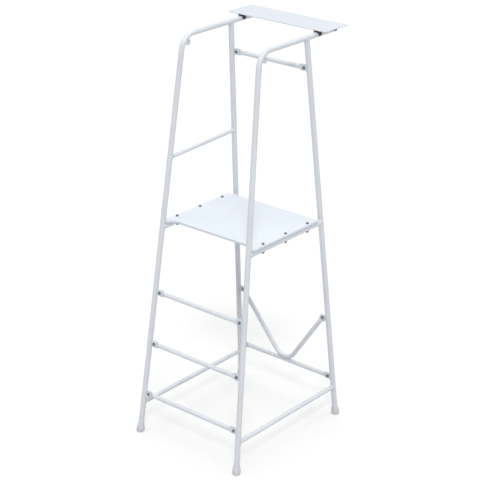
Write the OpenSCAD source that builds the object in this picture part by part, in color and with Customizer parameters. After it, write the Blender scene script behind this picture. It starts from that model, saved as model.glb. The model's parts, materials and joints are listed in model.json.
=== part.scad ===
// Referee stand for volleyball: a tall steel tube frame with a ladder side, a board to stand on,
// one arm rail and a small sheet desk over the front ends of the top rails.
// Millimetres, +Z up, floor at Z = 0. The ladder is on the -Y side and the desk on the +Y side.
// Left is -X and right is +X for someone who climbs the ladder.

/* [Side frames] */
// Height of the top rails' axis above the floor
rail_height = 2244; // [2150:1:2350]
// Distance between the left and right feet on the floor, axis to axis
foot_span_x = 711; // [660:1:780]
// Distance between the two top rails, axis to axis
rail_span_x = 514; // [470:1:560]
// Distance between the rear and front feet on the floor, axis to axis
foot_span_y = 874; // [840:1:940]
// How far a rear leg leans forward between the floor and the rail's height
rear_lean = 296; // [260:1:310]
// How far a front leg leans back between the floor and the rail's height
front_lean = 200; // [160:1:215]
// How far the top rails reach in front of the front feet's axis
rail_reach = 37; // [30:1:80]
// Bend radius of a rear leg into its top rail, at the tube's axis
bend_r = 90; // [75:1:110]
// Outer diameter of the leg and rail tube
leg_od = 30; // [28:0.5:32]
// Wall of the leg and rail tube
leg_wall = 2; // [1.5:0.1:2.5]
// Outer diameter of the bottom side rails
bottom_rail_od = 25; // [20:0.5:28]
// Wall of the bottom side rails
bottom_rail_wall = 1.5; // [1.2:0.1:2.5]
// Height of the bottom side rails' axis
bottom_rail_z = 177; // [120:1:300]
// Outer diameter of the arm rail
arm_rail_od = 22; // [18:0.5:28]
// Wall of the arm rail
arm_rail_wall = 1.5; // [1.2:0.1:2.5]
// Height of the arm rail's axis at the rear leg
arm_rail_z = 1592; // [1450:1:1800]
// How much higher the arm rail's axis is at the front leg
arm_rail_rise = 20; // [0:1:60]
// Gap that the weld fills where a tube end is cut to fit another tube
weld_gap = 0.2; // [0.1:0.05:0.3]

/* [Ladder and cross tubes] */
// Outer diameter of the rungs and crossbars
rung_od = 25; // [22:0.5:28]
// Wall of the rungs and crossbars
rung_wall = 1.5; // [1.2:0.1:2]
// Height of the lowest rung's bolts
rung_z = 235; // [200:1:280]
// Rise from one rung to the next
rung_pitch = 300; // [260:1:310]
// Distance from the top rails' axis down to the top crossbar's bolts
top_bar_drop = 168; // [140:1:340]
// Height of the bottom crossbar's bolts
bottom_bar_z = 235; // [200:1:260]
// Distance from a leg's axis in to the bolt that holds a rung or crossbar
bolt_inset = 33; // [31:0.5:38]

/* [V brace] */
// Outer diameter of the brace tube
brace_od = 25; // [20:0.5:26]
// Wall of the brace tube
brace_wall = 1.5; // [1.2:0.1:2]
// Height of the brace's bolts
brace_z = 610; // [540:1:700]
// Distance from a leg's axis in to the brace's bolt
brace_inset = 37.5; // [35:0.5:40]
// Bend radius at the bottom of the V, at the tube's axis
brace_bend_r = 80; // [60:1:100]

/* [Tabs and crimped ends] */
// Thickness of the tabs that are welded to the legs
tab_t = 5; // [4:0.5:6]
// Width of a tab, and diameter of its round end
tab_w = 34; // [28:1:36]
// Thickness of a tube end that is pressed flat
flat_t = 3; // [2.5:0.1:4]
// How far the flat part reaches past its bolt towards the leg
flat_out = 13; // [11:0.5:15]
// How far the flat part runs from its bolt towards the tube
flat_in = 20; // [16:1:30]
// Length over which the round tube runs down to its flat end
crimp_len = 18; // [12:1:40]
// Corner radius of a flat end
flat_corner_r = 9; // [5:0.5:11]

/* [Platform] */
// Height of the two platform rails' axis
platform_rail_z = 1205.5; // [1100:0.5:1300]
// Thickness of the platform board
platform_t = 12; // [8:0.5:18]
// Gap between the rear legs and the ends of the board's ears
platform_rear_gap = 2; // [1:0.5:10]
// How far the board is cut back between its two ears
platform_cut = 39; // [20:1:60]
// Width of an ear
platform_ear = 34; // [30:1:50]
// Radius of the cut's inner corners
platform_cut_r = 38; // [5:1:38]
// Gap between the board's front edge and the front legs
platform_front_gap = 25; // [10:1:60]
// How far the board reaches outside the platform rails' axis
platform_edge = 17; // [10:0.5:20]
// Corner radius of the platform board and the desk sheet
sheet_corner_r = 8; // [4:1:12]
// Spacing of the platform's bolts along a rail
platform_pitch = 186; // [120:1:200]

/* [Desk] */
// Depth of the desk sheet
desk_depth = 195; // [150:1:220]
// How far the desk sheet reaches outside each top rail's axis
desk_overhang = 74; // [40:1:120]
// How far the desk sheet reaches in front of the rails' ends
desk_reach = 18; // [5:1:20]
// Thickness of the desk sheet
desk_t = 3; // [2:0.5:5]
// Height of a saddle between the rail's top and the sheet
saddle_crown = 11; // [8:0.5:14]
// Thickness of a saddle's sides, outside the rail
saddle_side = 3; // [2:0.5:6]
// How far a saddle's sides reach below the rail's axis, so that it snaps on
saddle_wrap = 5; // [0:0.5:6]
// Length of a saddle along its rail
saddle_len = 23; // [20:1:26]
// Distance from the sheet's edge in to a saddle
saddle_inset = 20; // [20:0.5:30]
// Radius of a saddle's upper edges
saddle_edge_r = 6; // [2:0.5:7]

/* [Feet, plugs and chain lugs] */
// Radius of a foot cap at the floor
cap_sole_r = 22; // [20:0.5:28]
// Height of a foot cap along its leg
cap_h = 50; // [45:1:80]
// Height up to which a foot cap keeps its full width
cap_shoulder_h = 22; // [20:1:36]
// Wall of a foot cap at its upper lip
cap_lip = 1.8; // [1.2:0.1:2.5]
// Thickness of a foot cap under its tube, along the leg
cap_floor = 10; // [8:0.5:14]
// Bevel of a foot cap's bottom edge
cap_bevel = 2.5; // [1:0.5:3]
// Radial clearance of a foot cap or plug on its tube
push_fit = 0.15; // [0.1:0.05:0.25]
// Thickness of a rail end plug's head
plug_head = 3; // [2:0.5:5]
// Length of a rail end plug inside its tube
plug_len = 4; // [2:0.5:4]
// Thickness of a chain lug
lug_t = 4; // [3:0.5:6]
// Width of a chain lug
lug_w = 32; // [24:1:40]
// Diameter of a chain lug's hole
lug_hole_d = 9; // [6:0.5:12]
// Distance from the bend's centre to a chain lug's hole
lug_hole_r = 58; // [54:1:60]

/* [Fasteners] */
// Thread diameter of the bolts that hold the rungs, braces and platform
frame_bolt_d = 8; // [6:1:10]
// Thread diameter of the screws that hold the desk
desk_screw_d = 6; // [5:1:8]
// Radial clearance of a bolt in its hole
bolt_clear = 0.3; // [0.2:0.05:0.5]
// Radial clearance of a bolt in its nut and washers
nut_clear = 0.1; // [0.05:0.05:0.15]
// Diameter of the hole in a rail's underside that lets a desk screw in
access_hole_d = 14; // [13:0.5:18]

/* [Hidden] */
$fn = 64;

LEFT = -1;
RIGHT = 1;
REAR = -1;
FRONT = 1;
SIDES = [LEFT, RIGHT];

frame_white = [0.90, 0.92, 0.95];
sheet_white = [0.93, 0.95, 0.98];
plastic_black = [0.06, 0.06, 0.07];
plastic_grey = [0.78, 0.79, 0.81];
zinc = [0.46, 0.47, 0.49];

// How far a cut runs past the face that it opens
past = 1;
// How far the pieces of one bent or pressed tube run into each other, and the step between them there
lap = 1;
slack = 0.05;
// Step from a round tube down to where its pressed part starts
crimp_step = 0.2;
// Gap between a desk screw's flat head and the rail's round inside, where its rim comes nearest
seat_gap = 0.2;

// The origin is under the middle of the whole stand, between its rearmost foot and the desk's front edge
leg_r = leg_od / 2;
rear_slope = rear_lean / rail_height;
front_slope = front_lean / rail_height;
rear_reach = foot_span_y / 2 + cap_sole_r * sqrt(1 + rear_slope * rear_slope);
front_reach = foot_span_y / 2 + rail_reach + desk_reach;
shift_y = (rear_reach - front_reach) / 2;
rear_foot_y = shift_y - foot_span_y / 2;
front_foot_y = shift_y + foot_span_y / 2;
rail_end_y = front_foot_y + rail_reach;

// Tilts of the side planes, the ladder plane and the front plane
side_tilt = atan((foot_span_x - rail_span_x) / 2 / rail_height);
rear_tilt = atan(rear_slope);
front_tilt = atan(front_slope);
function leg_x(z) = (foot_span_x - (foot_span_x - rail_span_x) * z / rail_height) / 2;
function rear_y(z) = rear_foot_y + rear_slope * z;
function front_y(z) = front_foot_y - front_slope * z;
function leg_y(end, z) = end == REAR ? rear_y(z) : front_y(z);
function leg_point(end, side, z) = [side * leg_x(z), leg_y(end, z), z];

// The bend between a rear leg and its rail, measured in the side plane
rail_w = rail_height / cos(side_tilt);
rear_lean_angle = atan(rear_lean / rail_w);
front_lean_angle = atan(front_lean / rail_w);
bend_turn = 90 - rear_lean_angle;
bend_tangent = bend_r * tan(bend_turn / 2);
bend_y = rear_foot_y + rear_lean + bend_tangent;
rear_leg_len = norm([rear_lean, rail_w]) - bend_tangent;

// Rungs, tabs and crimped ends: offsets are measured along the normal of the leg plane, outward at the front
rung_heights = [rung_z, rung_z + rung_pitch, rung_z + 2 * rung_pitch];
behind_tab = tab_t / 2 + flat_t / 2;
function pressed_width(od, wall) = PI * (od - wall) / 2 + wall;
top_bar_z = rail_height - top_bar_drop;

// The V brace lies in the plane of the front legs and rests on the bottom crossbar, which is behind that plane.
// It is measured in the plane about the centre of its bend.
brace_lift = sqrt(pow((brace_od + rung_od) / 2 + weld_gap, 2) - pow(behind_tab, 2));
brace_x = leg_x(brace_z) - brace_inset;
brace_rise = (brace_z - bottom_bar_z) / cos(front_tilt) - brace_lift - brace_bend_r;
brace_reach = norm([brace_x, brace_rise]);
brace_limb = sqrt(brace_reach * brace_reach - brace_bend_r * brace_bend_r);
brace_touch = atan2(brace_rise, brace_x) - acos(brace_bend_r / brace_reach);

// Platform and desk
platform_x = leg_x(platform_rail_z);
platform_z = platform_rail_z + leg_r + platform_t;
platform_rear_y = rear_y(platform_z) + leg_r + platform_rear_gap;
platform_front_y = front_y(platform_z) - leg_r - platform_front_gap;
platform_bolt_mid = (rear_y(platform_rail_z) + front_y(platform_rail_z)) / 2;
platform_bolt_y = [for (i = [-1:1]) platform_bolt_mid + i * platform_pitch];
rail_x = rail_span_x / 2;
desk_z = rail_height + leg_r + saddle_crown;
desk_front_y = rail_end_y + desk_reach;
desk_rear_y = desk_front_y - desk_depth;
saddle_y = [desk_rear_y + saddle_inset + saddle_len / 2, desk_front_y - saddle_inset - saddle_len / 2];
saddle_bore_r = leg_r + push_fit;

// Common proportions of hexagon bolts, nuts and flat washers
function head_af(d) = 1.625 * d;
function corner_r(d) = head_af(d) / 2 / cos(30);
function head_h(d) = 0.66 * d;
function nut_h(d) = 0.8 * d;
function washer_r(d) = 1.05 * d;
function washer_t(d) = 0.19 * d;
function hole_r(d) = d / 2 + bolt_clear;
desk_nut_h = nut_h(desk_screw_d);
desk_screw_seat = sqrt(pow(leg_r - leg_wall, 2) - pow(desk_screw_d, 2)) - seat_gap;
frame_grip = tab_t + flat_t;
platform_grip = platform_t + leg_od;

// A round bar between two points
module rod(from, to, r) {
    along = to - from;
    translate(from)
        rotate([0, acos(along.z / norm(along)), atan2(along.y, along.x)])
            cylinder(h = norm(along), r = r);
}

// A straight tube that rises from the origin
module tube(length, od, wall) {
    linear_extrude(length) ring(od, wall);
}

module ring(od, wall) {
    difference() {
        circle(d = od);
        circle(d = od - 2 * wall);
    }
}

// A tube bent about the origin from the X axis round to an angle, with a straight run at each end of the bend
module bent_tube(bend, turn, before, after, od, wall) {
    rotate_extrude(angle = turn) translate([bend, 0]) ring(od + 2 * slack, wall + 2 * slack);
    translate([bend, lap, 0]) rotate([90, 0, 0]) tube(before + lap, od, wall);
    rotate(turn) translate([bend, -lap, 0]) rotate([-90, 0, 0]) tube(after + lap, od, wall);
}

// A rectangle from one corner to the other with round corners
module round_rect(low, high, r) {
    size = high - low;
    translate([low.x + r, low.y]) square([size.x - 2 * r, size.y]);
    translate([low.x, low.y + r]) square([size.x, size.y - 2 * r]);
    for (x = [low.x + r, high.x - r], y = [low.y + r, high.y - r]) translate([x, y]) circle(r = r);
}

// Puts children in a side plane: X is its normal, Y stays, and Z rises along the plane
module side_plane(side) {
    translate([side * foot_span_x / 2, 0, 0]) rotate([0, -side * side_tilt, 0]) children();
}

// Puts children in the plane of the rear or front legs at a height: X stays, Y is the plane's normal
module leg_plane(end, z) {
    translate([0, leg_y(end, z), z]) rotate([end == REAR ? -rear_tilt : front_tilt, 0, 0]) children();
}

// A leg's outer surface, made longer at both ends, to cut a tube end or tab to fit it
module leg_cut(end, side) {
    rod(leg_point(end, side, -leg_od), leg_point(end, side, rail_height), leg_r + weld_gap);
}

// Rear leg and top rail, bent from one tube, with holes for the desk's screws in the rail
module rear_leg_rail(side) {
    color(frame_white)
        difference() {
            side_plane(side)
                translate([0, bend_y, rail_w - bend_r])
                    rotate([90, 0, 90])
                        rotate(90)
                            bent_tube(bend_r, bend_turn, rail_end_y - bend_y, rear_leg_len - cap_floor,
                                leg_od, leg_wall);
            for (y = saddle_y) translate([side * rail_x, y, rail_height]) {
                cylinder(h = leg_od, r = hole_r(desk_screw_d));
                translate([0, 0, -leg_od]) cylinder(h = leg_od, d = access_hole_d);
            }
        }
}

// Front leg, cut at its top to fit the underside of the rail
module front_leg(side) {
    color(frame_white)
        side_plane(side)
            difference() {
                translate([0, front_foot_y, 0])
                    rotate([front_lean_angle, 0, 0])
                        translate([0, 0, cap_floor])
                            tube(norm([front_lean, rail_w]) - cap_floor, leg_od, leg_wall);
                translate([0, bend_y, rail_w])
                    rotate([-90, 0, 0]) cylinder(h = rail_end_y - bend_y, r = leg_r + weld_gap);
            }
}

// A straight tube in the side plane between a rear and a front leg, cut at both ends to fit them
module side_tube(side, rear_z, front_z, od, wall) {
    from = leg_point(REAR, side, rear_z);
    to = leg_point(FRONT, side, front_z);
    step = (to - from) * past / norm(to - from);
    difference() {
        rod(from, to, od / 2);
        rod(from - step, to + step, od / 2 - wall);
        for (end = [REAR, FRONT]) leg_cut(end, side);
    }
}

// Rail under one side of the platform, drilled for its bolts
module platform_rail(side) {
    color(frame_white)
        difference() {
            side_tube(side, platform_rail_z, platform_rail_z, leg_od, leg_wall);
            for (y = platform_bolt_y)
                translate([side * platform_x, y, platform_rail_z - leg_od])
                    cylinder(h = 2 * leg_od, r = hole_r(frame_bolt_d));
        }
}

module bottom_rail(side) {
    color(frame_white) side_tube(side, bottom_rail_z, bottom_rail_z, bottom_rail_od, bottom_rail_wall);
}

module arm_rail(side) {
    color(frame_white)
        side_tube(side, arm_rail_z, arm_rail_z + arm_rail_rise, arm_rail_od, arm_rail_wall);
}

// End of a tube that runs along X and is pressed flat, with its bolt hole at the origin. The tube's axis
// lies at Y = axis_y, and the flat at Y = 0.
module crimped_end(od, wall, axis_y = 0) {
    width = pressed_width(od, wall);
    difference() {
        rotate([90, 0, 0])
            linear_extrude(flat_t, center = true)
                difference() {
                    round_rect([-flat_in - flat_corner_r, -width / 2], [flat_out, width / 2], flat_corner_r);
                    translate([-flat_in - 2 * flat_corner_r, -width]) square([2 * flat_corner_r, 2 * width]);
                }
        rotate([90, 0, 0]) cylinder(h = 2 * flat_t, r = hole_r(frame_bolt_d), center = true);
    }
    hull() {
        translate([slack - flat_in, slack - flat_t / 2, slack - width / 2])
            cube([lap, flat_t - 2 * slack, width - 2 * slack]);
        translate([-flat_in - crimp_len - 2 * slack, axis_y, 0])
            rotate([0, 90, 0]) cylinder(h = slack, r = od / 2 - crimp_step, $fn = 32);
    }
}

// Straight cross tube between two bolts, with both ends pressed flat behind the tabs
module cross_tube(end, z) {
    bolt_x = leg_x(z) - bolt_inset;
    round_x = bolt_x - flat_in - crimp_len;
    color(frame_white)
        leg_plane(end, z)
            translate([0, behind_tab, 0]) {
                translate([-round_x, 0, 0]) rotate([0, 90, 0]) tube(2 * round_x, rung_od, rung_wall);
                for (side = SIDES)
                    scale([side, 1, 1]) translate([bolt_x, 0, 0]) crimped_end(rung_od, rung_wall);
            }
}

// V brace: one tube bent at the bottom and welded there to the bottom crossbar, with its pressed ends behind
// the tabs
module v_brace() {
    round_len = brace_limb - flat_in - crimp_len;
    arc = 180 + 2 * brace_touch;
    color(frame_white)
        leg_plane(FRONT, bottom_bar_z)
            translate([0, 0, brace_lift + brace_bend_r]) {
                rotate([90, 0, 0])
                    rotate(180 - brace_touch)
                        bent_tube(brace_bend_r, arc, round_len, round_len, brace_od, brace_wall);
                for (side = SIDES)
                    scale([side, 1, 1])
                        rotate([0, -brace_touch, 0])
                            translate([brace_bend_r, behind_tab, brace_limb])
                                rotate([0, -90, 0]) crimped_end(brace_od, brace_wall, -behind_tab);
            }
}

// Tab welded to the inner side of a leg, with a round end about its bolt hole
module tab(end, side, z, inset) {
    x = leg_x(z) - inset;
    difference() {
        leg_plane(end, z)
            scale([side, 1, 1])
                rotate([90, 0, 0])
                    linear_extrude(tab_t, center = true)
                        difference() {
                            union() {
                                translate([x, 0]) circle(d = tab_w);
                                translate([x, -tab_w / 2]) square([inset, tab_w]);
                            }
                            translate([x, 0]) circle(r = hole_r(frame_bolt_d));
                        }
        leg_cut(end, side);
    }
}

module rear_tabs(side) {
    color(frame_white) for (z = rung_heights) tab(REAR, side, z, bolt_inset);
}

module front_tabs(side) {
    color(frame_white) {
        for (z = [bottom_bar_z, top_bar_z]) tab(FRONT, side, z, bolt_inset);
        tab(FRONT, side, brace_z, brace_inset);
    }
}

// Lug for a safety chain, welded inside the bend between a rear leg and its rail
module chain_lug(side) {
    color(frame_white)
        side_plane(side)
            translate([-lug_t / 2, bend_y, rail_w - bend_r])
                rotate([90, 0, 90])
                    linear_extrude(lug_t)
                        intersection() {
                            circle(r = bend_r - leg_r - weld_gap);
                            rotate(90 + bend_turn / 2)
                                difference() {
                                    union() {
                                        translate([lug_hole_r, 0]) circle(d = lug_w);
                                        translate([lug_hole_r, -lug_w / 2]) square([bend_r, lug_w]);
                                    }
                                    translate([lug_hole_r, 0]) circle(d = lug_hole_d);
                                }
                        }
}

// Platform: one board, cut back between two ears beside the rear legs, with a row of bolt holes over each rail
module platform_board() {
    half_w = platform_x + platform_edge;
    cut_w = half_w - platform_ear;
    color(sheet_white)
        translate([0, 0, platform_z - platform_t])
            linear_extrude(platform_t)
                difference() {
                    round_rect([-half_w, platform_rear_y], [half_w, platform_front_y], sheet_corner_r);
                    round_rect([-cut_w, platform_rear_y - 2 * platform_cut_r],
                        [cut_w, platform_rear_y + platform_cut], platform_cut_r);
                    for (side = SIDES, y = platform_bolt_y)
                        translate([side * platform_x, y]) circle(r = hole_r(frame_bolt_d));
                }
}

// Desk: one flat sheet with nothing through its top
module desk_sheet() {
    half_w = rail_x + desk_overhang;
    color(sheet_white)
        translate([0, 0, desk_z])
            linear_extrude(desk_t)
                round_rect([-half_w, desk_rear_y], [half_w, desk_front_y], sheet_corner_r);
}

// Saddle that snaps over a rail from above and carries the desk on its crown
module saddle() {
    half_w = leg_r + saddle_side;
    crown = leg_r + saddle_crown;
    difference() {
        rotate([90, 0, 0])
            linear_extrude(saddle_len, center = true)
                difference() {
                    intersection() {
                        round_rect([-half_w, -crown], [half_w, crown], saddle_edge_r);
                        translate([-half_w, -saddle_wrap]) square([2 * half_w, crown + saddle_wrap]);
                    }
                    circle(r = saddle_bore_r);
                }
        cylinder(h = leg_od, r = hole_r(desk_screw_d));
        translate([0, 0, crown - desk_nut_h]) cylinder(h = leg_od, r = corner_r(desk_screw_d) + bolt_clear);
    }
}

module saddles(side) {
    color(plastic_black) for (y = saddle_y) translate([side * rail_x, y, rail_height]) saddle();
}

// Nuts welded under the desk sheet, sunk in the saddles' crowns
module desk_weld_nuts() {
    color(zinc)
        for (side = SIDES, y = saddle_y)
            translate([side * rail_x, y, desk_z - desk_nut_h]) hex_nut(desk_screw_d);
}

// Screws that hold the desk, each with its head inside the rail against the upper wall
module desk_screws() {
    length = leg_r + saddle_crown - desk_screw_seat - weld_gap;
    color(zinc)
        for (side = SIDES, y = saddle_y)
            translate([side * rail_x, y, rail_height + desk_screw_seat]) {
                cylinder(h = length, d = desk_screw_d);
                translate([0, 0, -head_h(desk_screw_d)]) cylinder(h = head_h(desk_screw_d), r = desk_screw_d);
            }
}

// Plug that closes the front end of a top rail
module rail_plug(side) {
    color(plastic_black)
        translate([side * rail_x, rail_end_y, rail_height])
            rotate([-90, 0, 0]) {
                translate([0, 0, -plug_len]) cylinder(h = plug_len, r = leg_r - leg_wall - push_fit);
                cylinder(h = plug_head / 2, r = leg_r);
                translate([0, 0, plug_head / 2])
                    cylinder(h = plug_head / 2, r1 = leg_r, r2 = leg_r - plug_head / 2);
            }
}

// Outline of a foot cap: full width up to its shoulder, then a smooth flare in to the lip
function cap_outline(steps) = concat(
    [[0, -cap_sole_r], [cap_sole_r, -cap_sole_r]],
    [for (i = [0:steps])
        [leg_r + cap_lip + (cap_sole_r - leg_r - cap_lip) * (1 + cos(180 * i / steps)) / 2,
            cap_shoulder_h + (cap_h - cap_shoulder_h) * i / steps]],
    [[0, cap_h]]);

// Foot cap in line with its leg, cut level at the floor, with the tube's end on its floor
module foot_cap(end, side) {
    foot = leg_point(end, side, 0);
    up = leg_point(end, side, rail_height) - foot;
    color(plastic_grey)
        intersection() {
            translate(foot)
                rotate([0, acos(up.z / norm(up)), atan2(up.y, up.x)])
                    difference() {
                        rotate_extrude() polygon(cap_outline(6));
                        translate([0, 0, cap_floor]) cylinder(h = cap_h, r = leg_r + push_fit);
                    }
            translate(foot)
                cylinder(h = 2 * cap_h, r1 = cap_sole_r - cap_bevel, r2 = cap_sole_r - cap_bevel + 2 * cap_h);
        }
}

module hex_prism(d, h) {
    cylinder(h = h, r = corner_r(d), $fn = 6);
}

module hex_nut(d) {
    difference() {
        hex_prism(d, nut_h(d));
        translate([0, 0, -past]) cylinder(h = nut_h(d) + 2 * past, r = d / 2 + nut_clear);
    }
}

module washer(d) {
    difference() {
        cylinder(h = washer_t(d), r = washer_r(d));
        translate([0, 0, -past]) cylinder(h = washer_t(d) + 2 * past, r = d / 2 + nut_clear);
    }
}

// Bolt with its head below the origin and its shank up from it, through the grip, nut and two thread pitches
module hex_bolt(d, grip) {
    translate([0, 0, -head_h(d)]) hex_prism(d, head_h(d));
    cylinder(h = grip + nut_h(d) + d / 4, d = d);
}

// Puts children at each bolt of the frame, at the first face under a bolt head, with Z along the bolt
module at_frame_bolts() {
    for (side = SIDES) {
        for (z = rung_heights) bolt_place(REAR, side, z, bolt_inset) children();
        for (z = [bottom_bar_z, top_bar_z]) bolt_place(FRONT, side, z, bolt_inset) children();
        bolt_place(FRONT, side, brace_z, brace_inset) children();
    }
}

module bolt_place(end, side, z, inset) {
    leg_plane(end, z)
        translate([side * (leg_x(z) - inset), -tab_t / 2, 0]) rotate([-90, 0, 0]) children();
}

module frame_bolts() {
    color(zinc)
        at_frame_bolts()
            translate([0, 0, -washer_t(frame_bolt_d)])
                hex_bolt(frame_bolt_d, frame_grip + 2 * washer_t(frame_bolt_d));
}

module frame_washers() {
    color(zinc)
        at_frame_bolts()
            for (z = [-washer_t(frame_bolt_d), frame_grip]) translate([0, 0, z]) washer(frame_bolt_d);
}

module frame_nuts() {
    color(zinc)
        at_frame_bolts() translate([0, 0, frame_grip + washer_t(frame_bolt_d)]) hex_nut(frame_bolt_d);
}

// Puts children at each platform bolt, at the board's top, with Z down along the bolt
module at_platform_bolts() {
    for (side = SIDES, y = platform_bolt_y)
        translate([side * platform_x, y, platform_z]) rotate([180, 0, 0]) children();
}

module platform_bolts() {
    color(zinc)
        at_platform_bolts()
            translate([0, 0, -washer_t(frame_bolt_d)])
                hex_bolt(frame_bolt_d, platform_grip + 2 * washer_t(frame_bolt_d));
}

module platform_washers() {
    color(zinc)
        at_platform_bolts()
            for (z = [-washer_t(frame_bolt_d), platform_grip]) translate([0, 0, z]) washer(frame_bolt_d);
}

module platform_nuts() {
    color(zinc)
        at_platform_bolts() translate([0, 0, platform_grip + washer_t(frame_bolt_d)]) hex_nut(frame_bolt_d);
}

rear_leg_rail(LEFT);  // left_rear_leg_rail
rear_leg_rail(RIGHT);  // right_rear_leg_rail
front_leg(LEFT);  // left_front_leg
front_leg(RIGHT);  // right_front_leg
platform_rail(LEFT);  // left_platform_rail
platform_rail(RIGHT);  // right_platform_rail
bottom_rail(LEFT);  // left_bottom_rail
bottom_rail(RIGHT);  // right_bottom_rail
arm_rail(LEFT);  // left_arm_rail
cross_tube(REAR, rung_heights[0]);  // lower_rung
cross_tube(REAR, rung_heights[1]);  // middle_rung
cross_tube(REAR, rung_heights[2]);  // upper_rung
cross_tube(FRONT, top_bar_z);  // top_crossbar
cross_tube(FRONT, bottom_bar_z);  // bottom_crossbar
v_brace();
rear_tabs(LEFT);  // left_rear_tabs
rear_tabs(RIGHT);  // right_rear_tabs
front_tabs(LEFT);  // left_front_tabs
front_tabs(RIGHT);  // right_front_tabs
chain_lug(LEFT);  // left_chain_lug
chain_lug(RIGHT);  // right_chain_lug
platform_board();
desk_sheet();
saddles(LEFT);  // left_saddles
saddles(RIGHT);  // right_saddles
desk_weld_nuts();
desk_screws();
rail_plug(LEFT);  // left_rail_plug
rail_plug(RIGHT);  // right_rail_plug
foot_cap(REAR, LEFT);  // left_rear_foot_cap
foot_cap(REAR, RIGHT);  // right_rear_foot_cap
foot_cap(FRONT, LEFT);  // left_front_foot_cap
foot_cap(FRONT, RIGHT);  // right_front_foot_cap
frame_bolts();
frame_washers();
frame_nuts();
platform_bolts();
platform_washers();
platform_nuts();
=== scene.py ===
import json
import math

import bpy
from mathutils import Matrix, Vector


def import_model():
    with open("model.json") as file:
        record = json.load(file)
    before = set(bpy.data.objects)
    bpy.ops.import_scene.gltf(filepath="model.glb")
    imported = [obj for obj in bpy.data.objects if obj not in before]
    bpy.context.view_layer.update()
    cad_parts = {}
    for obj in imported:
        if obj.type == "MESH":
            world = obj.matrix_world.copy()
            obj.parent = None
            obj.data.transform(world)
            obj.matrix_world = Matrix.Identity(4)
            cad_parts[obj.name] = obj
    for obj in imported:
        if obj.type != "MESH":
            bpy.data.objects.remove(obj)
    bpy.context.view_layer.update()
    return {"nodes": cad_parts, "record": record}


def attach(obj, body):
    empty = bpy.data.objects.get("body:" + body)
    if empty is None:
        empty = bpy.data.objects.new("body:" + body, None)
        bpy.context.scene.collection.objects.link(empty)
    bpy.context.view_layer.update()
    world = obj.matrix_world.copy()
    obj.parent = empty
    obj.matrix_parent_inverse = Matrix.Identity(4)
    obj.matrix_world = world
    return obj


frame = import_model()

# Sizes of the stand in metres, as the CAD has them; left is -X for someone who climbs the ladder
LEFT, RIGHT = -1, 1
RAIL_Z = 2.244
FOOT_SPAN_X = 0.711
RAIL_SPAN_X = 0.514
FOOT_SPAN_Y = 0.874
REAR_LEAN = 0.296
FRONT_LEAN = 0.200
BEND_R = 0.090
# From the origin, which is under the middle of the whole stand, to the middle of its feet
SHIFT_Y = -0.016405
LEG_R = 0.015
BOTTOM_RAIL_R = 0.0125
ARM_RAIL_R = 0.011
BOTTOM_RAIL_Z = 0.177
PLATFORM_RAIL_Z = 1.2055
ARM_RAIL_Z = 1.592
# How much higher the arm rail's front end is than its rear end
ARM_RAIL_RISE = 0.020
RUNG_Z = (0.235, 0.535, 0.835)
BOTTOM_BAR_Z = 0.235
TOP_BAR_Z = 2.076
BRACE_Z = 0.610
# How far the V brace's axis passes over the bottom crossbar's, in the plane of the front legs, and
# the radius of its bend
BRACE_LIFT = 0.0249
BRACE_BEND_R = 0.080
# How far the bottom crossbar's axis lies off that plane
BEHIND_TAB = 0.004
TAB_T = 0.005
TAB_W = 0.034
LUG_T = 0.004
LUG_W = 0.032
BOARD_T = 0.012


def leg_x(z):
    return (FOOT_SPAN_X - (FOOT_SPAN_X - RAIL_SPAN_X) * z / RAIL_Z) / 2


def rear_y(z):
    return SHIFT_Y - FOOT_SPAN_Y / 2 + REAR_LEAN * z / RAIL_Z


def front_y(z):
    return SHIFT_Y + FOOT_SPAN_Y / 2 - FRONT_LEAN * z / RAIL_Z


def rear_leg(side, z):
    """Point at a height on a rear leg's axis."""
    return Vector((side * leg_x(z), rear_y(z), z))


def front_leg(side, z):
    """Point at a height on a front leg's axis."""
    return Vector((side * leg_x(z), front_y(z), z))


def axis_of(leg, side):
    return leg(side, 1) - leg(side, 0)


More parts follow.
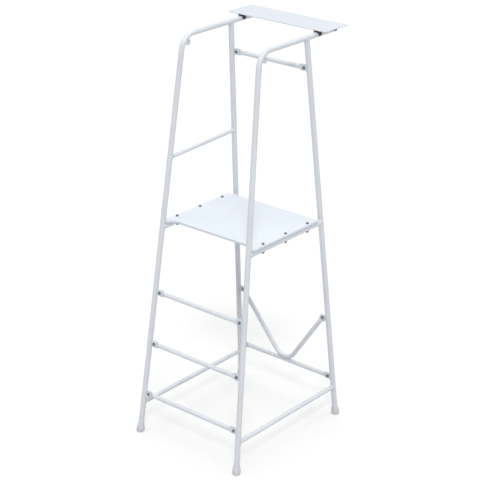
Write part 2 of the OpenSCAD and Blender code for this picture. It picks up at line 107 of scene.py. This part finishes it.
class Shading:
    """The node tree of a material or of the world, with the kinds of node that this scene uses."""

    def __init__(self, tree):
        self.nodes, self.links = tree.nodes, tree.links

    def feed(self, node, sockets):
        """Links outputs to a node's inputs or sets their values, a colour's without its alpha."""
        for key, value in sockets.items():
            socket = node.inputs[key]
            if isinstance(value, bpy.types.NodeSocket):
                self.links.new(value, socket)
            elif socket.type == "RGBA":
                socket.default_value = (*value, 1)
            else:
                socket.default_value = value

    def node(self, kind, sockets=None, **settings):
        """A new node with its settings, and its inputs fed by name or number."""
        made = self.nodes.new("ShaderNode" + kind)
        for key, value in settings.items():
            setattr(made, key, value)
        self.feed(made, sockets or {})
        return made

    def coordinates(self, stretch=None):
        """The part's own coordinates in metres, stretched along the axes if asked for."""
        made = self.node("TexCoord").outputs["Object"]
        if stretch:
            made = self.node("Mapping", {"Vector": made, "Scale": stretch}).outputs["Vector"]
        return made

    def z_of(self, vector):
        return self.node("SeparateXYZ", {"Vector": vector}).outputs["Z"]

    def noise(self, coords, scale, detail=2.0, roughness=0.5, distortion=0.0):
        """A cloudy pattern, with its scale in features to the metre."""
        sockets = {"Vector": coords, "Scale": scale, "Detail": detail, "Roughness": roughness,
                   "Distortion": distortion}
        return self.node("TexNoise", sockets).outputs["Fac"]

    def spread(self, source, to, between=(0.35, 0.65)):
        """A texture's value brought from one range to another."""
        sockets = {"Value": source, "From Min": between[0], "From Max": between[1],
                   "To Min": to[0], "To Max": to[1]}
        return self.node("MapRange", sockets).outputs["Result"]

    def maths(self, operation, *values):
        return self.node("Math", dict(enumerate(values)), operation=operation).outputs["Value"]

    def mix(self, factor, under, over, blend="MIX"):
        """One colour laid over another."""
        return self.node("Mix", {"Factor": factor, "A": under, "B": over}, data_type="RGBA",
                         blend_type=blend).outputs["Result"]

    def stain(self, under, over, pattern, most=1.0, between=(0.35, 0.65), blend="MIX"):
        """One colour laid over another where a pattern is strong, up to a share of it."""
        return self.mix(self.spread(pattern, (0.0, most), between), under, over, blend)

    def mix_shaders(self, factor, first, second):
        return self.node("MixShader", {0: factor, 1: first, 2: second}).outputs["Shader"]

    def bump(self, height, strength, distance, normal=None):
        sockets = {"Height": height, "Strength": strength, "Distance": distance}
        if normal:
            sockets["Normal"] = normal
        return self.node("Bump", sockets).outputs["Normal"]

    def rounded(self, radius):
        """Normals that round off an edge by a small radius."""
        return self.node("Bevel", {"Radius": radius}, samples=6).outputs["Normal"]

    def true_normal(self):
        return self.node("NewGeometry").outputs["Normal"]

    def edge_wear_and_shade(self, coords, radius, most):
        """Share of wear and painted edge shade: it rises towards an edge, within the radius, and is
        broken up by a little noise.
        """
        turned = self.node("VectorMath", {0: self.rounded(radius), 1: self.true_normal()},
                           operation="DOT_PRODUCT").outputs["Value"]
        near = self.spread(turned, to=(most, 0.0), between=(0.75, 0.995))
        broken = self.noise(coords, scale=60.0, detail=4.0, roughness=0.7, distortion=0.5)
        return self.maths("MULTIPLY", near, self.spread(broken, to=(0.5, 1.0)))

    def darkening_near_floor(self, coords, most, heights, scale, least, between):
        """Darkening that fades from one height to another, and is broken up by noise: painted shade
        on the powder coat, a darker bottom on the caps.
        """
        low = self.spread(self.z_of(coords), to=(most, 0.0), between=heights)
        marks = self.noise(coords, scale, detail=5.0, roughness=0.7, distortion=0.6)
        return self.maths("MULTIPLY", low, self.spread(marks, (least, 1.0), between))


# Materials

# Colours of flecks, rubbed patches, painted shade near the floor and along edges, wear, a darker
# cap bottom and the like, which lie over a paint
FLECK = (0.55, 0.56, 0.58)
RUBBED = (0.58, 0.60, 0.64)
GRAIN = (0.66, 0.68, 0.71)
LOW_SHADE_COLOUR = (0.52, 0.545, 0.59)
GLUE = (0.40, 0.37, 0.33)
WORN_AND_SHADED = (0.50, 0.52, 0.52)
CAP_BOTTOM_DARK = (0.36, 0.36, 0.36)
ZINC_DARK, ZINC_LIGHT = (0.17, 0.18, 0.20), (0.30, 0.30, 0.31)
# The board's plies, and how much of the glue's colour shows through the paint on their edges
PLIES, GLUE_SEEN = 7, 0.08
# Radius that an edge looks rounded by, how far from it the paint is worn and darkened by painted
# edge shade, and how much at most
BOARD_EDGE_R, SHEET_EDGE_R, ZINC_EDGE_R = 0.0012, 0.0006, 0.0003
BOARD_EDGE_DARK_R, SHEET_EDGE_DARK_R = 0.004, 0.008
BOARD_EDGE_DARKEST, SHEET_EDGE_DARKEST = 0.5, 0.75
# How many times finer the pits of a powder coat are than its orange peel
PIT_SCALE = 4.5


def new_material(name):
    """A material, its nodes and its shader."""
    made = bpy.data.materials.new(name)
    made.use_nodes = True
    return made, Shading(made.node_tree), made.node_tree.nodes["Principled BSDF"]


def powder_coat(name, dark, light, rough, peel_scale, edge_r=None):
    """White powder coat: clouds, flecks, rubbed patches, painted shade that darkens it towards the
    floor, and orange peel.
    With an edge radius it is also worn and darkened by painted shade along its edges."""
    made, shade, shader = new_material(name)
    coords = shade.coordinates()
    clouds = shade.noise(coords, scale=3.5, detail=4.0, roughness=0.55, distortion=0.2)
    colour = shade.stain(dark, light, clouds)
    flecks = shade.noise(coords, scale=900.0, detail=1.0)
    colour = shade.stain(colour, FLECK, flecks, most=0.06, between=(0.62, 0.8), blend="MULTIPLY")
    rubs = shade.noise(shade.coordinates((30.0, 30.0, 7.0)), scale=1.0, detail=5.0, roughness=0.7,
                       distortion=0.8)
    colour = shade.stain(colour, RUBBED, rubs, most=0.10, between=(0.60, 0.78))
    # Painted shade: the coat darkens towards the floor
    painted_low_shade = shade.darkening_near_floor(coords, most=0.38, heights=(0.0, 1.15), scale=26.0, least=0.45,
                      between=(0.35, 0.66))
    colour = shade.mix(painted_low_shade, colour, LOW_SHADE_COLOUR)
    if edge_r:
        # Wear and painted shade: the sheet darkens along its edges
        colour = shade.mix(shade.edge_wear_and_shade(coords, SHEET_EDGE_DARK_R, SHEET_EDGE_DARKEST), colour, WORN_AND_SHADED)
    smear = shade.noise(coords, scale=14.0, detail=5.0, roughness=0.6, distortion=0.4)
    pits = shade.noise(coords, scale=peel_scale * PIT_SCALE, detail=1.0)
    peel = shade.noise(coords, scale=peel_scale, detail=2.0, roughness=0.45)
    normal = shade.bump(pits, strength=0.06, distance=0.0002,
                        normal=shade.rounded(edge_r) if edge_r else None)
    normal = shade.bump(peel, strength=0.12, distance=0.0006, normal=normal)
    shade.feed(shader, {"Base Color": colour, "Roughness": shade.spread(smear, rough),
                        "Normal": normal, "Specular IOR Level": 0.45,
                        "Coat Weight": 0.2, "Coat Roughness": 0.2})
    return made


def painted_board(name, dark, light, rough):
    """White paint on plywood. The face veneer's grain shows through as fine ridges, and so do the
    plies at the edges."""
    made, shade, shader = new_material(name)
    coords = shade.coordinates()
    clouds = shade.noise(coords, scale=2.2, detail=4.0, roughness=0.55, distortion=0.3)
    colour = shade.stain(dark, light, clouds)
    grain = shade.noise(shade.coordinates((2.5, 90.0, 90.0)), scale=2.0, detail=6.0, roughness=0.62,
                        distortion=0.6)
    colour = shade.stain(colour, GRAIN, grain, most=0.05, between=(0.5, 0.75))
    darker_patches = shade.noise(shade.coordinates((9.0, 34.0, 9.0)), scale=1.0, detail=6.0, roughness=0.72,
                         distortion=1.4)
    colour = shade.stain(colour, RUBBED, darker_patches, most=0.09, between=(0.62, 0.80))
    # Glue lines between the plies, on upright faces only
    ply_turns = 2 * math.pi * PLIES / BOARD_T
    plies = shade.maths("SINE", shade.maths("MULTIPLY", shade.z_of(coords), ply_turns))
    level = shade.maths("ABSOLUTE", shade.z_of(shade.true_normal()))
    edge = shade.maths("MULTIPLY", shade.spread(plies, to=(0.0, 1.0), between=(0.55, 1.0)),
                       shade.spread(level, to=(1.0, 0.0), between=(0.2, 0.7)))
    colour = shade.mix(shade.maths("MULTIPLY", edge, GLUE_SEEN), colour, GLUE)
    # Wear and painted shade: the board darkens along its edges
    colour = shade.mix(shade.edge_wear_and_shade(coords, BOARD_EDGE_DARK_R, BOARD_EDGE_DARKEST), colour, WORN_AND_SHADED)
    smear = shade.noise(coords, scale=11.0, detail=5.0, roughness=0.62, distortion=0.5)
    brushed = shade.noise(coords, scale=240.0, detail=2.0, roughness=0.5)
    normal = shade.bump(edge, strength=0.25, distance=0.0004, normal=shade.rounded(BOARD_EDGE_R))
    normal = shade.bump(grain, strength=0.16, distance=0.0005, normal=normal)
    normal = shade.bump(brushed, strength=0.08, distance=0.0004, normal=normal)
    shade.feed(shader, {"Base Color": colour, "Roughness": shade.spread(smear, rough),
                        "Normal": normal, "Specular IOR Level": 0.42,
                        "Coat Weight": 0.12, "Coat Roughness": 0.3})
    return made


def plastic(name, dark, light, rough, grain_scale, grain, bottom_colour=None):
    """Moulded plastic with a fine spark-eroded grain and slightly rubbed patches.
    With a colour for its bottom it is also darker near the floor."""
    made, shade, shader = new_material(name)
    coords = shade.coordinates()
    patches = shade.noise(coords, scale=22.0, detail=4.0, roughness=0.6, distortion=0.3)
    colour = shade.stain(dark, light, patches)
    if bottom_colour:
        # The cap darkens towards the floor
        darker_patches = shade.darkening_near_floor(coords, most=0.75, heights=(0.001, 0.011), scale=130.0, least=0.2,
                            between=(0.4, 0.66))
        colour = shade.mix(darker_patches, colour, bottom_colour)
    rub = shade.noise(coords, scale=60.0, detail=3.0, roughness=0.6)
    eroded = shade.noise(coords, scale=grain_scale, detail=2.0, roughness=0.6)
    shade.feed(shader, {"Base Color": colour, "Roughness": shade.spread(rub, rough),
                        "Normal": shade.bump(eroded, strength=grain, distance=0.0003),
                        "Specular IOR Level": 0.4})
    return made


def zinc_plate(name, rough):
    """Zinc plated steel: dull grey crystals with a faint warm and cold cast."""
    made, shade, shader = new_material(name)
    coords = shade.coordinates()
    cells = shade.node("TexVoronoi", {"Vector": coords, "Scale": 420.0, "Randomness": 1.0},
                       feature="F1").outputs["Distance"]
    cast = shade.noise(coords, scale=90.0, detail=4.0, roughness=0.65)
    fine = shade.noise(coords, scale=1500.0, detail=2.0)
    shade.feed(shader, {"Base Color": shade.stain(ZINC_DARK, ZINC_LIGHT, cast),
                        "Roughness": shade.spread(cells, rough, between=(0.0, 0.7)),
                        "Normal": shade.bump(fine, strength=0.1, distance=0.0002,
                                             normal=shade.rounded(ZINC_EDGE_R)),
                        "Metallic": 0.85})
    return made


FINISH = {
    "frame_paint": powder_coat("white powder coat", dark=(0.652, 0.683, 0.725),
                               light=(0.691, 0.723, 0.764), rough=(0.36, 0.48), peel_scale=260.0),
    "board_paint": painted_board("white paint on plywood", dark=(0.657, 0.706, 0.768),
                                 light=(0.696, 0.745, 0.807), rough=(0.40, 0.56)),
    "sheet_paint": powder_coat("white powder coat on sheet", dark=(0.570, 0.604, 0.668),
                               light=(0.605, 0.640, 0.702), rough=(0.34, 0.46), peel_scale=220.0,
                               edge_r=SHEET_EDGE_R),
    "black_plastic": plastic("black plastic", dark=(0.012, 0.012, 0.014),
                             light=(0.022, 0.022, 0.024), rough=(0.42, 0.58), grain_scale=1400.0,
                             grain=0.15),
    "grey_plastic": plastic("grey plastic", dark=(0.570, 0.580, 0.612),
                            light=(0.625, 0.632, 0.668), rough=(0.45, 0.6), grain_scale=1200.0,
                            grain=0.12, bottom_colour=CAP_BOTTOM_DARK),
    "zinc_steel": zinc_plate("zinc plated steel", rough=(0.34, 0.52)),
}

for entry in frame["record"]["subparts"]:
    node = frame["nodes"][entry["node"]]
    if not node.material_slots:
        node.data.materials.append(None)
    for held in node.material_slots:
        held.material = FINISH[entry["material_slot"]]


# Weld beads: each runs along the seam where a tube end or a tab meets the tube that it is welded to

BEAD_R = 0.0022
BEAD_SEGMENTS = 10
# Shares of a bead's radius: what is left at its ends, and the depth of its two ripples, each with
# its pace in radians a step
BEAD_END = 0.35
RIPPLE, RIPPLE_PACE = 0.16, 1.9
SLOW_RIPPLE, SLOW_PACE, SLOW_START = 0.08, 0.7, 1
# How far under the rail, and how far inwards of a leg, the lines start that find a seam
UNDER_RAIL, INSIDE_LEG = 0.3, 0.1
# The V brace's beads: half their length, and how far they lie to either side of the two axes
BRACE_BEAD_HALF, BRACE_BEAD_OFF = 0.016, 0.0045
TUBE_STEPS, TAB_STEPS, LUG_STEPS, BRACE_STEPS = 72, 18, 14, 16
BOTH_FACES = (-1, 1)


def mesh_object(name, vertices, faces, material):
    mesh = bpy.data.meshes.new(name)
    mesh.from_pydata([tuple(v) for v in vertices], [], faces)
    mesh.update()
    mesh.materials.append(material)
    piece = bpy.data.objects.new(name, mesh)
    bpy.context.scene.collection.objects.link(piece)
    return piece


def circle(centre, direction, radius, steps):
    """Points around a centre, in the plane that the direction stands on."""
    across = direction.orthogonal().normalized()
    up = direction.cross(across)
    turns = [2 * math.pi * i / steps for i in range(steps)]
    return [centre + across * (radius * math.cos(a)) + up * (radius * math.sin(a)) for a in turns]


def bead_radius(i, at_end):
    if at_end:
        return BEAD_R * BEAD_END
    return BEAD_R * (1 + RIPPLE * math.sin(i * RIPPLE_PACE)
                     + SLOW_RIPPLE * math.sin(i * SLOW_PACE + SLOW_START))


def bead_mesh(name, paths):
    """One mesh of sweeps along paths, each a (points, is closed) pair, with a welder's ripples."""
    vertices, faces = [], []
    for points, closed in paths:
        count = len(points)
        base = len(vertices)
        for i, p in enumerate(points):
            before = points[(i - 1) % count] if closed or i else p
            after = points[(i + 1) % count] if closed or i < count - 1 else p
            radius = bead_radius(i, not closed and i in (0, count - 1))
            vertices += circle(p, (after - before).normalized(), radius, BEAD_SEGMENTS)
        for i in range(count if closed else count - 1):
            a, b = base + i * BEAD_SEGMENTS, base + (i + 1) % count * BEAD_SEGMENTS
            for k in range(BEAD_SEGMENTS):
                n = (k + 1) % BEAD_SEGMENTS
                faces.append((a + k, a + n, b + n, b + k))
        if not closed:
            last = base + (count - 1) * BEAD_SEGMENTS
            faces.append(tuple(base + k for k in reversed(range(BEAD_SEGMENTS))))
            faces.append(tuple(last + k for k in range(BEAD_SEGMENTS)))
    piece = mesh_object(name, vertices, faces, FINISH["frame_paint"])
    piece.data.shade_smooth()
    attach(piece, "root")


def on_cylinder(start, direction, axis_point, axis, radius):
    """Point where a line first meets a cylinder, or passes it closest."""
    axis = axis.normalized()
    out = start - axis_point
    d = direction - axis * direction.dot(axis)
    e = out - axis * out.dot(axis)
    a, b, c = d.dot(d), 2 * d.dot(e), e.dot(e) - radius * radius
    root = math.sqrt(max(b * b - 4 * a * c, 0))
    return start + direction * ((-b - root) / (2 * a))


def tube_seam(start, end, radius, host_axis):
    """Seam of a tube that runs from start to a leg or rail, whose axis passes through end."""
    direction = (end - start).normalized()
    return [on_cylinder(p, direction, end, host_axis, LEG_R)
            for p in circle(start, direction, radius, TUBE_STEPS)], True


def side_rail_seams(side, rear_z, front_z, radius):
    """Seams of both ends of a rail between a rear and a front leg."""
    rear, front = rear_leg(side, rear_z), front_leg(side, front_z)
    middle = (rear + front) / 2
    return [tube_seam(middle, rear, radius, axis_of(rear_leg, side)),
            tube_seam(middle, front, radius, axis_of(front_leg, side))]


def top_rail_seam(side):
    """Seam of a front leg's top under its rail."""
    return tube_seam(front_leg(side, RAIL_Z - UNDER_RAIL), front_leg(side, RAIL_Z), LEG_R,
                     Vector((0, 1, 0)))


def open_paths(point, steps):
    """An open path on each of two faces, through point(face, t) with t from -1 to 1."""
    return [([point(face, 2 * i / steps - 1) for i in range(steps + 1)], False)
            for face in BOTH_FACES]


def tab_seams(leg, side, z):
    """Seams of a tab's two faces on the leg that it is welded to."""
    here = leg(side, z)
    axis = axis_of(leg, side)
    along = Vector((0, axis.y, axis.z)).normalized()
    normal = Vector((0, along.z, -along.y))
    outwards = Vector((side, 0, 0))

    def point(face, t):
        on_face = here + along * (TAB_W / 2 * t) + normal * (face * TAB_T / 2)
        return on_cylinder(on_face - outwards * INSIDE_LEG, outwards, here, axis, LEG_R)
    return open_paths(point, TAB_STEPS)


def lug_seams(side):
    """Seams of a chain lug's two faces inside the bend."""
    tilt = math.atan((FOOT_SPAN_X - RAIL_SPAN_X) / 2 / RAIL_Z)
    # Heights along the plane of the side frame, which leans by the tilt
    rail_w = RAIL_Z / math.cos(tilt)
    turn = math.pi / 2 - math.atan(REAR_LEAN / rail_w)
    centre_y = rear_y(RAIL_Z) + BEND_R * math.tan(turn / 2)
    centre_w = rail_w - BEND_R
    plane = (Matrix.Translation((side * FOOT_SPAN_X / 2, 0, 0))
             @ Matrix.Rotation(-side * tilt, 4, "Y"))
    reach = BEND_R - math.sqrt(LEG_R ** 2 - (LUG_T / 2) ** 2)
    middle = math.pi / 2 + turn / 2
    half = LUG_W / 2 / reach

    def point(face, t):
        a = middle + half * t
        return plane @ Vector((face * LUG_T / 2, centre_y + reach * math.cos(a),
                               centre_w + reach * math.sin(a)))
    return open_paths(point, LUG_STEPS)


def brace_seams():
    """Beads in the two valleys where the V brace's bend rests on the bottom crossbar."""
    tilt = math.atan(FRONT_LEAN / RAIL_Z)
    plane = (Matrix.Translation((0, front_y(BOTTOM_BAR_Z), BOTTOM_BAR_Z))
             @ Matrix.Rotation(tilt, 4, "X"))
    bar = Vector((0, BEHIND_TAB, 0))

    def point(face, t):
        x = BRACE_BEAD_HALF * t
        bend_z = BRACE_LIFT + BRACE_BEND_R - math.sqrt(BRACE_BEND_R ** 2 - x * x)
        bend = Vector((0, 0, bend_z))
        between = (bend - bar).normalized()
        across = Vector((0, between.z, -between.y)) * (face * BRACE_BEAD_OFF)
        return plane @ (Vector((x, 0, 0)) + (bend + bar) / 2 + across)
    return open_paths(point, BRACE_STEPS)


for side, word in ((LEFT, "left"), (RIGHT, "right")):
    bead_mesh(word + "_platform_rail_welds",
              side_rail_seams(side, PLATFORM_RAIL_Z, PLATFORM_RAIL_Z, LEG_R))
    bead_mesh(word + "_bottom_rail_welds",
              side_rail_seams(side, BOTTOM_RAIL_Z, BOTTOM_RAIL_Z, BOTTOM_RAIL_R))
    bead_mesh(word + "_top_rail_weld", [top_rail_seam(side)])
    bead_mesh(word + "_rear_tab_welds",
              [path for z in RUNG_Z for path in tab_seams(rear_leg, side, z)])
    bead_mesh(word + "_front_tab_welds",
              [path for z in (BOTTOM_BAR_Z, BRACE_Z, TOP_BAR_Z)
               for path in tab_seams(front_leg, side, z)])
    bead_mesh(word + "_chain_lug_welds", lug_seams(side))
bead_mesh("left_arm_rail_welds",
          side_rail_seams(LEFT, ARM_RAIL_Z, ARM_RAIL_Z + ARM_RAIL_RISE, ARM_RAIL_R))
bead_mesh("v_brace_welds", brace_seams())


# Floor, light and camera

CAMERA_AZIMUTH, CAMERA_ELEVATION = math.radians(40.498), math.radians(22.881)
CAMERA_AT = (5.00942, -5.85582 + SHIFT_Y, 4.37433)
CLIP_END = 100.0
FOCAL_PX, IMAGE_PX, SENSOR_MM = 1546.49, 480, 36.0
# The key light comes from the camera's own side, and the fill from the right
KEY_ELEVATION, KEY_SPREAD, KEY_STRENGTH = math.radians(45.5), math.radians(12.0), 1.1
FILL_AZIMUTH, FILL_ELEVATION = math.radians(105), math.radians(8)
FILL_SPREAD, FILL_STRENGTH = math.radians(60), 0.2
SKY_TOP, SKY_LOW, SKY_POWER = 2.5, 0.15, 3.5
WHITE = (1, 1, 1)
FLOOR_HALF = 30.0
FLOOR_SEEN, FLOOR_BOUNCE = (0.82, 0.82, 0.82), (0.69, 0.69, 0.69)
# How much of the floor that the camera sees is plain white; the rest takes light and shadow
FLOOR_WHITE = 0.42


def direction_to(azimuth, elevation):
    """Unit vector from the part to something at that azimuth and elevation."""
    return Vector((math.sin(azimuth) * math.cos(elevation),
                   -math.cos(azimuth) * math.cos(elevation),
                   math.sin(elevation)))


def floor():
    made, shade, principled = new_material("pale floor")
    shade.nodes.remove(principled)
    bounced = shade.node("BsdfDiffuse", {"Color": FLOOR_BOUNCE}).outputs["BSDF"]
    shaded = shade.node("BsdfDiffuse", {"Color": FLOOR_SEEN}).outputs["BSDF"]
    white = shade.node("Emission", {"Color": WHITE, "Strength": 1.0}).outputs["Emission"]
    seen = shade.mix_shaders(FLOOR_WHITE, shaded, white)
    by_camera = shade.node("LightPath").outputs["Is Camera Ray"]
    shade.feed(shade.nodes["Material Output"],
               {"Surface": shade.mix_shaders(by_camera, bounced, seen)})
    corners = [(x * FLOOR_HALF, y * FLOOR_HALF, 0) for x, y in ((-1, -1), (1, -1), (1, 1), (-1, 1))]
    piece = mesh_object("floor", corners, [(0, 1, 2, 3)], made)


def world():
    """Light that is strongest overhead, in a surround that the camera and reflections see white."""
    made = bpy.data.worlds.new("studio")
    made.use_nodes = True
    shade = Shading(made.node_tree)
    shade.nodes.clear()
    up = shade.maths("MAXIMUM", shade.z_of(shade.node("TexCoord").outputs["Generated"]), 0.0)
    level = shade.maths("MULTIPLY", shade.maths("POWER", up, SKY_POWER), SKY_TOP)
    lit = shade.node("Background", {"Color": WHITE, "Strength": shade.maths("ADD", level, SKY_LOW)})
    shown = shade.node("Background",
                       {"Color": WHITE, "Strength": shade.maths("MAXIMUM", level, 1.0)})
    path = shade.node("LightPath").outputs
    seen = shade.maths("MAXIMUM", path["Is Camera Ray"], path["Is Glossy Ray"])
    surface = shade.mix_shaders(seen, lit.outputs["Background"], shown.outputs["Background"])
    shade.node("OutputWorld", {"Surface": surface})
    bpy.context.scene.world = made


def lamp(name, azimuth, elevation, spread, strength):
    """A far lamp; its spread is how wide it looks from the part."""
    light = bpy.data.lights.new(name, "SUN")
    light.energy = strength
    light.angle = spread
    made = bpy.data.objects.new(name, light)
    made.rotation_euler = direction_to(azimuth, elevation).to_track_quat("Z", "Y").to_euler()
    bpy.context.scene.collection.objects.link(made)


def camera():
    back = direction_to(CAMERA_AZIMUTH, CAMERA_ELEVATION)
    right = Vector((math.cos(CAMERA_AZIMUTH), math.sin(CAMERA_AZIMUTH), 0))
    lens = bpy.data.cameras.new("camera")
    lens.sensor_width = SENSOR_MM
    lens.lens = FOCAL_PX * SENSOR_MM / IMAGE_PX
    lens.clip_end = CLIP_END
    made = bpy.data.objects.new("camera", lens)
    turn = Matrix((right, back.cross(right), back)).transposed().to_4x4()
    made.matrix_world = Matrix.Translation(CAMERA_AT) @ turn
    bpy.context.scene.collection.objects.link(made)
    bpy.context.scene.camera = made


floor()
world()
lamp("key", CAMERA_AZIMUTH, KEY_ELEVATION, KEY_SPREAD, KEY_STRENGTH)
lamp("fill", FILL_AZIMUTH, FILL_ELEVATION, FILL_SPREAD, FILL_STRENGTH)
camera()
bpy.context.scene.view_settings.view_transform = "Standard"
